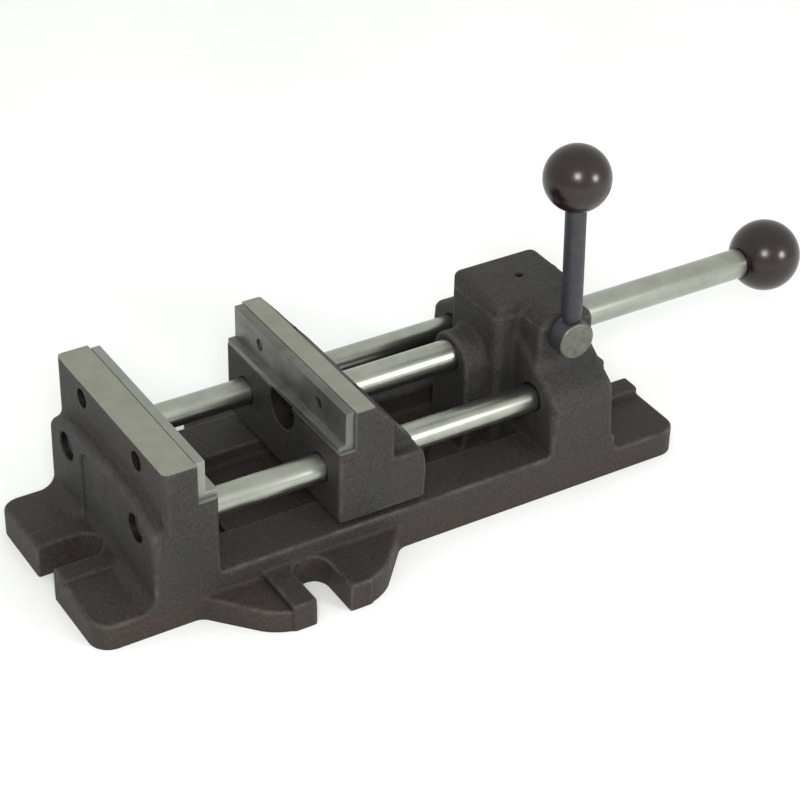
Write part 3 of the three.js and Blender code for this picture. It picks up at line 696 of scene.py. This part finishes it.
def plate_seat(plate_low, plate_high, overhang):
    """The step that a jaw plate lies in: behind its face and under its lip."""
    low = np.array(plate_low) - FIT
    high = np.array(plate_high) + FIT
    low[1], high[1] = -HALF_WIDTH - 5, HALF_WIDTH + 5
    high[2] = JAW_TOP + 5
    if overhang < 0:
        low[0] -= 10
    else:
        high[0] += 10
    return block(low, high)


def make_base():
    low = np.array(BASE_LOW) - (0, 0, GRIND)
    high = np.array(BASE_HIGH) + (0, 0, 0.5)
    wide = 400
    near_jaws = 60
    under = block((-wide, -wide, -20), (wide, wide, 0))
    top = block((-wide, -wide, JAW_TOP), (near_jaws, wide, JAW_TOP + 20))
    seat = plate_seat(FIXED_PLATE_LOW, FIXED_PLATE_HIGH, 1)
    rods = [
        bore(ROD_RADIUS + FIT, a, b, (0, side * ROD_Y, ROD_Z))
        for side in (-1, 1)
        for a, b in ((FIXED_JAW["front"], FIXED_JAW["inner"]), (HOUSING["front"], HOUSING["rear"]))
    ]
    bush, run = BUSH["radius"] + FIT, BAR_RADIUS + FIT
    bar_profile = [(PEDESTAL["front"] - 1, run)]
    for start, end in (BUSH["front"], BUSH["rear"]):
        bar_profile += [(start, run), (start + STEP, bush), (end, bush), (end + STEP, run)]
    bar = turned("bar_bore", bar_profile[:-1], (0, 0, BAR_Z))
    cavity = block(CAVITY["low"], CAVITY["high"])
    face, radius, seat_start = CAM_BOSS["face"], CAM_BORE["radius"], CAM_BORE["ring_seat"]
    chamfer = 0.65
    cam_profile = [(face - 2, radius + chamfer), (face, radius + chamfer), (face + 0.7, radius)]
    cam_profile += [(seat_start, radius), (seat_start + STEP, CAM_BORE["pocket"])]
    cam_profile += [(CAM_BORE["end"], CAM_BORE["pocket"])]
    cam = turned("cam_bore", cam_profile, (CAM_X, 0, CAM_Z), "y")
    half, pin_radius = PIN_BORE["half"], PIN_BORE["radius"]
    pin_place = (PIN_BORE["x"], 0, PIN_BORE["z"])
    pin = turned("pin_bore", [(-half, pin_radius), (half, pin_radius)], pin_place, "y", 48)
    narrow, mouth, sink = OIL_HOLE["radius"], OIL_HOLE["mouth"], OIL_HOLE["high"] - 2
    oil_profile = [(OIL_HOLE["low"], narrow), (sink, narrow), (sink + 0.6, mouth)]
    oil_profile += [(OIL_HOLE["high"], mouth)]
    oil = turned("oil", oil_profile, (OIL_HOLE["x"], 0, 0), "z", 32)
    places = [(0, y, PLATE_SCREW["z"]) for y in screw_places()]
    screws = [counterbore(FIXED_JAW["upper"], 1, place) for place in places]

    def is_ground(centre, normal):
        across, up = normal[:, 0], normal[:, 2]
        x, z = centre[:, 0], centre[:, 2]
        top_face = (up > 0.99) & (z > JAW_TOP - 0.05) & (x < near_jaws)
        seat_face = (across > 0.99) & (np.abs(x - FIXED_PLATE_LOW[0] + FIT) < 0.05)
        ledge = (up > 0.99) & (np.abs(z - FIXED_PLATE_LOW[2] + FIT) < 0.05)
        return top_face | seat_face | ledge | ((up < -0.99) & (z < 0.05))

    cutters = [under, top, seat, *rods, bar, cavity, cam, pin, oil, *screws]
    casting(
        "vise_base", base_field, low, high, 170_000, cutters, is_ground, "base", "base_casting"
    )


def make_moving_jaw():
    low = np.array(JAW_LOW)
    high = np.array(JAW_HIGH) + (0, 0, GRIND)
    wide = 400
    top = block((0, -wide, JAW_TOP), (wide, wide, JAW_TOP + 20))
    seat = plate_seat(MOVING_PLATE_LOW, MOVING_PLATE_HIGH, -1)
    rods = [bore(ROD_RADIUS + FIT, low[0], high[0], (0, side * ROD_Y, ROD_Z)) for side in (-1, 1)]
    front, bar_start = low[0], BAR_LOW[0] - FIT
    run, clearance, pocket = BAR_RADIUS + FIT, JAW_BOLT["clearance"], JAW_BOLT["pocket"]
    pocket_end = front + JAW_BOLT["depth"]
    chamfer = 0.5
    profile = [(front - 2, pocket + chamfer), (front, pocket + chamfer), (front + chamfer, pocket)]
    profile += [(pocket_end, pocket), (pocket_end + STEP, clearance), (bar_start, clearance)]
    profile += [(bar_start + STEP, run), (high[0] + 2, run)]
    bar = turned("bar_socket", profile, (0, 0, BAR_Z))
    places = [(0, y, PLATE_SCREW["z"]) for y in screw_places()]
    screws = [counterbore(NOTCH["back"], -1, place) for place in places]

    def is_ground(centre, normal):
        across, up = normal[:, 0], normal[:, 2]
        x, z = centre[:, 0], centre[:, 2]
        top_face = (up > 0.99) & (z > JAW_TOP - 0.05)
        seat_face = (across < -0.99) & (np.abs(x - MOVING_PLATE_HIGH[0] - FIT) < 0.05)
        ledge = (up > 0.99) & (np.abs(z - MOVING_PLATE_LOW[2] + FIT) < 0.05)
        return top_face | seat_face | ledge | (up < -0.999)

    cutters = [top, seat, *rods, bar, *screws]
    casting(
        "vise_moving_jaw", moving_jaw_field, low, high, 90_000, cutters, is_ground,
        "jaw_carriage", "moving_jaw",
    )


# ---- plates, rods and the rest ----


def paint_sides(piece, material, picks):
    """Gives the faces whose normals are picked a second finish."""
    piece.data.materials.append(material)
    for polygon in piece.data.polygons:
        polygon.material_index = int(picks(polygon.normal))


def make_plate(name, node, body, face, facing, shaded_sides):
    """A stepped jaw plate. face is its gripping plane's x, facing the way that it grips, and shaded_sides
    picks the faces given the darker copy of its steel as painted shade.
    """
    low, high = span(node)
    back = low[0] if facing > 0 else high[0]
    lip_end = high[0] if facing > 0 else low[0]
    ledge = low[2] + PLATE_LIP
    outline = [(back, low[2]), (back, high[2]), (face, high[2]), (face, ledge)]
    outline += [(lip_end, ledge), (lip_end, low[2])]
    points = [(x, y, z) for y in (low[1], high[1]) for x, z in outline]
    count = len(outline)
    faces = [tuple(range(count)), tuple(reversed(range(count, 2 * count)))]
    faces += [(i, i + count, (i + 1) % count + count, (i + 1) % count) for i in range(count)]
    if facing < 0:
        faces = [f[::-1] for f in faces]
    piece = from_points(name, points, faces)
    bevel(piece, 0.35)
    profile = [(low[0] - 1, PLATE_SCREW["hole"]), (high[0] + 1, PLATE_SCREW["hole"])]
    places = [(0, y, PLATE_SCREW["z"]) for y in screw_places()]
    carve(piece, *[turned("hole", profile, place, "x", 48) for place in places])
    finish_piece(piece, body, PLATE, node)
    # painted shade: the picked faces get the darker copy of the steel
    paint_sides(piece, PLATE_SHADED_SIDE, shaded_sides)


def axis_of(low, high, axis):
    """The centre of a box, moved to zero along one axis."""
    centre = (low + high) / 2
    centre[axis] = 0
    return centre


def make_guide_rod(label):
    """A polished rod with rounded edges, and ends in the dark lever finish: a rougher end, and painted
    shade of the bore it sits in.
    """
    low, high = span(f"guide_rod_{label}")
    start, end = low[0], high[0]
    chamfer = 0.9
    corner = chamfer * 0.3
    profile = [(start, ROD_RADIUS - chamfer), (start + corner, ROD_RADIUS - corner)]
    profile += [(start + chamfer, ROD_RADIUS), (end - chamfer, ROD_RADIUS)]
    profile += [(end - corner, ROD_RADIUS - corner), (end, ROD_RADIUS - chamfer)]
    piece = turned(f"guide_rod_{label}_bright", profile, axis_of(low, high, 0))
    finish_piece(piece, "base", BRIGHT, f"guide_rod_{label}")
    # the end faces get the dark lever finish: a rougher end, darkened further as painted shade in its
    # bore
    paint_sides(piece, LEVER_BLACK, lambda n: abs(n.x) > 0.5)


def cap_screw(name, node, body, head_end, radius, head_radius, head_length, hex_size):
    """A socket-head cap screw along X in place of a CAD node. head_end is "low" or "high"."""
    low, high = span(node)
    centre = axis_of(low, high, 0)
    length = high[0] - low[0]
    profile = [(0, head_radius - 0.5), (0.12, head_radius - 0.2), (0.5, head_radius)]
    profile += [(head_length - 0.2, head_radius), (head_length, head_radius - 0.2)]
    profile += [(head_length + STEP, radius), (length - 0.6, radius), (length, radius - 0.6)]
    corner = hex_size * HEX_CORNER
    socket = [(-1, corner), (head_length * 0.6, corner), (head_length * 0.75, 0.3)]
    if head_end == "low":
        place = [(low[0] + along, r) for along, r in profile]
        hollow = [(low[0] + along, r) for along, r in socket]
    else:
        place = [(high[0] - along, r) for along, r in profile][::-1]
        hollow = [(high[0] - along, r) for along, r in socket][::-1]
    piece = turned(name, place, centre, "x", 48)
    carve(piece, turned("hex", hollow, centre, "x", 6, 0.3))
    finish_piece(piece, body, SCREW_BLACK, node)


def ball_profile(centre, radius, rim):
    """The round part of a ball whose low side has a flat of the rim's radius."""
    start = math.pi - math.asin(rim / radius)
    angles = [start * (1 - i / BALL_STEPS) for i in range(BALL_STEPS)]
    return [(centre + radius * math.cos(t), max(radius * math.sin(t), 0.05)) for t in angles]


def make_bar_knob():
    """A moulded ball with a flat round its blind socket."""
    low, high = span("bar_knob")
    radius, socket, depth = (high[1] - low[1]) / 2, 7.0, 13.0
    rim = socket + 1
    middle = high[0] - radius
    flat = middle - math.sqrt(radius**2 - rim**2)
    profile = [(flat, socket + 0.3), (flat, rim - 0.4), *ball_profile(middle, radius, rim)]
    place = axis_of(low, high, 0)
    piece = turned("bar_knob_moulded", profile, place)
    hole = [(flat - 1, socket + 0.3), (flat, socket + 0.3), (flat + 0.3, socket), (flat + depth, socket)]
    carve(piece, turned("hole", hole, place))
    finish_piece(piece, "jaw_carriage", BALL, "bar_knob")


def make_bar():
    low, high = span("push_bar")
    start, end = low[0], high[0]
    shoulder = end - BAR_STUD["length"]
    r, stud, bolt = BAR_RADIUS, BAR_STUD["radius"], JAW_BOLT["clearance"]
    profile = [(start, r - 1), (start + 1, r), (shoulder - 0.5, r), (shoulder - 0.15, r - 0.12)]
    profile += [(shoulder, r - 0.5), (shoulder + 0.1, stud), (end - 0.6, stud), (end, stud - 0.6)]
    piece = turned("push_bar_bright", profile, (0, 0, BAR_Z))
    carve(piece, turned("bolt_hole", [(start - 1, bolt), (start + 16, bolt)], (0, 0, BAR_Z), "x", 48))
    finish_piece(piece, "jaw_carriage", BRIGHT, "push_bar")


def make_cam_shaft():
    """The cam shaft with its hub outside the boss, an eccentric inside, and a groove for the ring."""
    low, high = span("cam_shaft")
    face, end = low[1], high[1]
    hub, shaft, neck, half = (CAM_SHAFT[key] for key in ("hub", "radius", "neck", "cam_half"))
    groove = CAM_GROOVE
    back = CAM_BOSS["face"] - FIT
    profile = [(face, hub - 1.1), (face + 0.15, hub - 0.7), (face + 0.7, hub - 0.15), (face + 1.1, hub)]
    profile += [(back - 0.5, hub), (back, hub - 0.5), (back + STEP, shaft)]
    profile += [(-half, shaft), (-half + STEP, neck), (half - STEP, neck), (half, shaft)]
    profile += [(groove["low"], shaft), (groove["low"] + STEP, groove["radius"])]
    profile += [(groove["high"], groove["radius"]), (groove["high"] + STEP, shaft)]
    profile += [(end - 0.8, shaft), (end, shaft - 0.85)]
    piece = turned("cam_shaft_turned", profile, (CAM_X, 0, CAM_Z), "y")
    locked = math.radians(LEVER_JOINT["range_deg"][1]) - lever_lean()
    throw, lobe_radius, lobe_half = CAM_SHAFT["throw"], CAM_SHAFT["lobe"], half + 0.05
    lobe_place = (CAM_X - throw * math.cos(locked), 0, CAM_Z - throw * math.sin(locked))
    lobe_profile = [(-lobe_half, lobe_radius), (lobe_half, lobe_radius)]
    lobe = turned("lobe", lobe_profile, lobe_place, "y", 64)
    added = piece.modifiers.new("lobe", "BOOLEAN")
    added.operation = "UNION"
    added.solver = "MANIFOLD"
    added.object = lobe
    apply_modifiers(piece)
    bpy.data.meshes.remove(lobe.data)
    hole = turned("rod_hole", [(-4, LEVER["hole"]), (11, LEVER["hole"])], (0, 0, 0), "z", 48)
    hole.matrix_world = lever_frame()
    carve(piece, hole)
    finish_piece(piece, "cam_lever", HUB, "cam_shaft")
    # the round sides get the lever's black: partly a dark finish, partly painted shade on the hub's side
    paint_sides(piece, LEVER_BLACK, lambda n: abs(n.y) < 0.5)


def lever_ball_offset():
    """From the cam axis to the lever ball's centre, along X and Z."""
    low, high = span("lever_ball")
    radius = (high[0] - low[0]) / 2
    return (low[0] + high[0]) / 2 - CAM_X, high[2] - radius - CAM_Z


def lever_reach():
    return math.hypot(*lever_ball_offset())


def lever_lean():
    return math.atan2(*lever_ball_offset())


def lever_frame():
    """From a frame whose Z runs up the lever from the cam axis to the row frame, in metres."""
    low, high = span("lever_rod")
    place = Matrix.Translation(Vector((CAM_X, (low[1] + high[1]) / 2, CAM_Z)) * MM)
    return place @ Matrix.Rotation(lever_lean(), 4, "Y")


def make_lever_rod():
    neck, rod, shoulder, stud = (LEVER[key] for key in ("neck", "rod", "shoulder", "stud"))
    middle = lever_reach()
    flat = middle - 13
    profile = [(-3.7, neck - 0.4), (-3.3, neck), (shoulder, neck), (shoulder + 0.2, neck + 0.35)]
    profile += [(shoulder + 3.4, rod - 0.15), (shoulder + 4.4, rod), (flat, rod)]
    profile += [(flat + 0.4, rod - 0.3), (flat + 0.6, stud)]
    profile += [(middle + 2.6, stud), (middle + 3, stud - 0.4)]
    piece = turned("lever_rod_black", profile, (0, 0, 0), "z", 64)
    piece.data.transform(lever_frame())
    finish_piece(piece, "cam_lever", LEVER_BLACK, "lever_rod")


def make_lever_ball():
    """A moulded ball on the lever, with a flat round its blind socket."""
    radius, socket, rim = LEVER_BALL["radius"], LEVER_BALL["socket"], LEVER_BALL["rim"]
    middle = lever_reach()
    flat = middle - math.sqrt(radius**2 - rim**2)
    profile = [(flat, rim - 0.5), *ball_profile(middle, radius, rim)]
    piece = turned("lever_ball_moulded", profile, (0, 0, 0), "z")
    hole = [(flat - 1, socket + 0.3), (flat, socket + 0.3), (flat + 0.3, socket)]
    hole += [(flat + LEVER_BALL["depth"], socket)]
    carve(piece, turned("hole", hole, (0, 0, 0), "z"))
    piece.data.transform(lever_frame())
    finish_piece(piece, "cam_lever", BALL, "lever_ball")


def make_ring(name, node, body, material, inner):
    """A washer or bush along X in place of a CAD node."""
    low, high = span(node)
    outer, chamfer = (high[1] - low[1]) / 2, 0.25
    place = axis_of(low, high, 0)
    start, end = low[0], high[0]
    profile = [(start, outer - chamfer), (start + chamfer, outer)]
    profile += [(end - chamfer, outer), (end, outer - chamfer)]
    piece = turned(name, profile, place)
    carve(piece, bore(inner, start, end, place, chamfer))
    finish_piece(piece, body, material, node)


def make_plug(label):
    """The socket plug behind a guide rod."""
    low, high = span(f"rod_plug_{label}")
    place = axis_of(low, high, 0)
    radius, end, corner = (high[2] - low[2]) / 2, high[0], 6 * HEX_CORNER
    profile = [(low[0], radius), (end - 0.8, radius), (end, radius - 0.8)]
    piece = turned(f"rod_plug_{label}_screw", profile, place, "x", 64)
    carve(piece, turned("hex", [(end - 3, corner), (end + 1, corner)], place, "x", 6, 0.2))
    finish_piece(piece, "base", SCREW_BLACK, f"rod_plug_{label}")


def dress_cad_nodes(materials):
    """The hidden inner pieces keep their CAD shape, with their own finish."""
    for name, material in materials.items():
        node = frame["nodes"][name]
        paint(node, material)
        shade(node)


make_base()
make_moving_jaw()
# painted shade on the plates: the fixed plate's faces across X, and the moving plate's faces that do not
# face up, get the darker copy
make_plate("fixed_plate_ground", "fixed_jaw_plate", "base", 0.0, 1, lambda n: abs(n.x) > 0.7)
make_plate(
    "moving_plate_ground", "moving_jaw_plate", "jaw_carriage", OPENING, -1, lambda n: n.z < 0.7
)
for end in ("near", "far"):
    make_guide_rod(end)
    cap_screw(f"fixed_screw_{end}", f"fixed_plate_screw_{end}", "base", "low", 2.5, 4.2, 5, 4)
    cap_screw(f"moving_screw_{end}", f"moving_plate_screw_{end}", "jaw_carriage", "high", 2.5, 4.2, 5, 4)
    make_plug(end)
cap_screw("jaw_bolt_black", "jaw_bolt", "jaw_carriage", "low", 3, 5.1, 6, 5)
make_ring(
    "jaw_bolt_washer_ring", "jaw_bolt_washer", "jaw_carriage", SCREW_BLACK,
    JAW_BOLT["clearance"],
)
make_bar()
make_bar_knob()
make_cam_shaft()
make_lever_rod()
make_lever_ball()
for end in ("front", "rear"):
    make_ring(f"bar_bush_{end}_turned", f"bar_bush_{end}", "base", BRONZE, BAR_RADIUS + FIT)
dress_cad_nodes({
    "grip_pivot_pin": SCREW_BLACK,
    "grip_block": LEVER_BLACK,
    "grip_spring": SCREW_BLACK,
    "bar_knob_insert": BRONZE,
    "lever_ball_insert": BRONZE,
    "cam_ring": SCREW_BLACK,
})


# ---- studio ----

AZIMUTH, ELEVATION, ROLL = (math.radians(angle) for angle in (-32.063, 33.948, 1.388))
CAMERA_PLACE = Vector((-334.34, -731.80, 619.94)) * MM
LENS, SENSOR = 102.9, 36


def camera_axes():
    """The camera's right, up and back directions."""
    back = Vector((
        math.sin(AZIMUTH) * math.cos(ELEVATION),
        -math.cos(AZIMUTH) * math.cos(ELEVATION),
        math.sin(ELEVATION),
    ))
    level = Vector((math.cos(AZIMUTH), math.sin(AZIMUTH), 0))
    rise = back.cross(level)
    right = level * math.cos(ROLL) + rise * math.sin(ROLL)
    return right, back.cross(right), back


def make_camera():
    data = bpy.data.cameras.new("camera")
    data.lens = LENS
    data.sensor_width = SENSOR
    camera = bpy.data.objects.new("camera", data)
    bpy.context.scene.collection.objects.link(camera)
    turn = Matrix(camera_axes()).transposed()
    camera.matrix_world = Matrix.Translation(CAMERA_PLACE) @ turn.to_4x4()
    bpy.context.scene.camera = camera


def soft_box(name, direction, distance, size, power, target=(0.13, 0, 0.06)):
    """A square studio light that faces the vise."""
    data = bpy.data.lights.new(name, "AREA")
    data.shape = "SQUARE"
    data.size = size
    data.energy = power
    light = bpy.data.objects.new(name, data)
    bpy.context.scene.collection.objects.link(light)
    direction = Vector(direction).normalized()
    light.location = Vector(target) + direction * distance
    light.rotation_mode = "QUATERNION"
    light.rotation_quaternion = (-direction).to_track_quat("-Z", "Y")


def make_studio():
    right, up, back = camera_axes()
    turn = math.radians(57)
    soft_box("front_light", back + up * 0.05, 1.3, 0.34, 8.5)
    soft_box("right_light", back * math.cos(turn) + right * math.sin(turn), 1.4, 0.30, 7)
    world = bpy.data.worlds.new("studio")
    world.use_nodes = True
    sky = world.node_tree.nodes["Background"]
    sky.inputs["Color"].default_value = (0.98, 1.0, 0.97, 1)
    sky.inputs["Strength"].default_value = 0.9
    bpy.context.scene.world = world
    size = 4000
    depth = -0.1
    corners = [(-size, -size, depth), (size, -size, depth), (size, size, depth), (-size, size, depth)]
    floor = from_points("floor", corners, [(0, 1, 2, 3)])
    paper = Shader("paper").set(Roughness=0.9, Specular_IOR_Level=0.1)
    tone = paper.ramp(paper.noise(120, 2), [(0.3, (0.90, 0.90, 0.90)), (0.7, (0.93, 0.93, 0.93))])
    floor.data.materials.append(paper.finish(tone))
    bpy.context.scene.view_settings.view_transform = "Standard"


make_camera()
make_studio()
